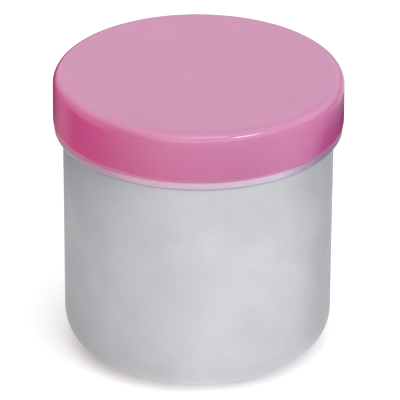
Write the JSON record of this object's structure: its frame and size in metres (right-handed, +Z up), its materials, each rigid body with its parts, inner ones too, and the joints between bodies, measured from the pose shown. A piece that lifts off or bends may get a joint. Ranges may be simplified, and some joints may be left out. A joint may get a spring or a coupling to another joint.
{
  "type": "dappen dish",
  "caption": "Lidded dappen dish: straight steel outer cup with a rounded foot, threaded plastic collar, round-bottomed steel well and a flat glossy screw lid with a foam liner.",
  "frame": {"origin": "centre of the standing ring, on the surface that the dish stands on", "axes": "+Z up, along the axis of the dish and the way the lid comes off; X and Y are alike"},
  "size_m": [0.04, 0.04, 0.0405],
  "materials": {
    "satin_steel": "fine satin",
    "collar_plastic": "natural, glossy",
    "polished_steel": "polished",
    "seal_silicone": "translucent, matte",
    "lid_plastic": "glossy pink",
    "liner_foam": "fine closed-cell foam"
  },
  "bodies": {
    "dish": {"outer_shell": "satin_steel", "neck_collar": "collar_plastic", "inner_well": "polished_steel", "well_seal": "seal_silicone"},
    "liner": {"lid_liner": "liner_foam"},
    "lid": {"lid": "lid_plastic"}
  },
  "joints": [
    {"name": "lid_lift", "type": "slide", "parent": "dish", "child": "liner", "axis": [0, 0, 1], "range_m": [0, 0.018]},
    {"name": "lid_turn", "type": "hinge", "parent": "liner", "child": "lid", "pos_m": [0, 0, 0.0384], "axis": [0, 0, 1], "range_deg": [0, 1080]}
  ],
  "couplings": [
    {"joint": "lid_lift", "follows": "lid_turn", "m_per_rad": 0.00095492}
  ]
}
